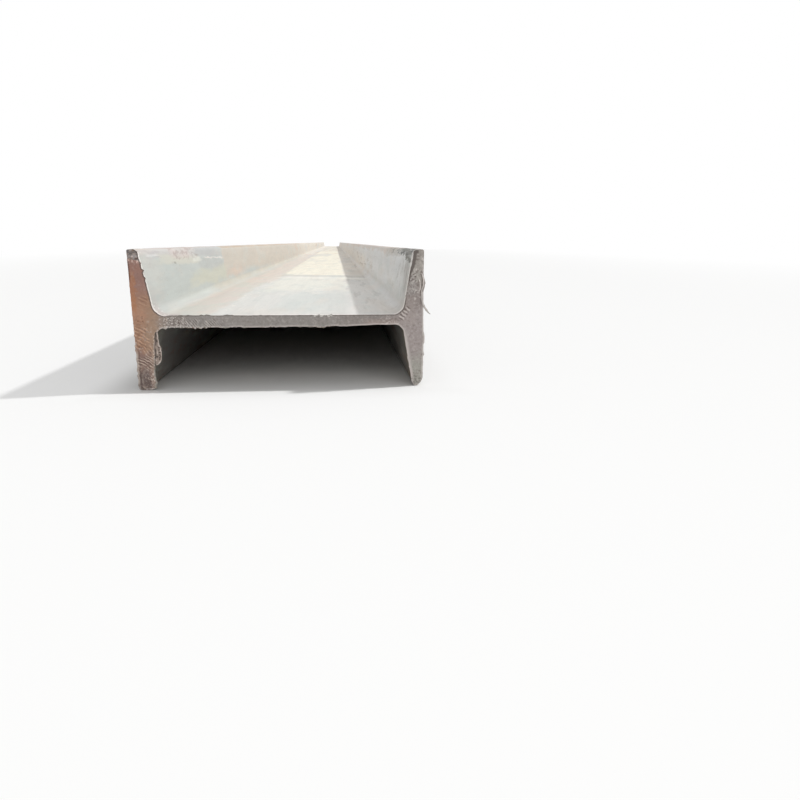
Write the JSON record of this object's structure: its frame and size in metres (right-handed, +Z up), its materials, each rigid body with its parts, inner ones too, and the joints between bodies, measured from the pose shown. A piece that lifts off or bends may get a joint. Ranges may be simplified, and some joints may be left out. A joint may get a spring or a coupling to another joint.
{
  "type": "steel i-beam",
  "caption": "Hot-rolled steel I-beam with tapered flanges and filleted web, saw-cut stock lying on its flange tips, for framing, lintels and stacking.",
  "frame": {"origin": "middle of the base, level with the lower flange tips, half-way along the length", "axes": "+X across the section's depth from flange back to flange back, +Y along the length away from the near end, +Z up across the flange width"},
  "size_m": [0.24, 9, 0.116],
  "materials": {
    "steel": "hot-rolled mill scale with light rust, abrasive-sawn ends"
  },
  "bodies": {
    "root": {"i_beam": "steel"}
  },
  "joints": []
}
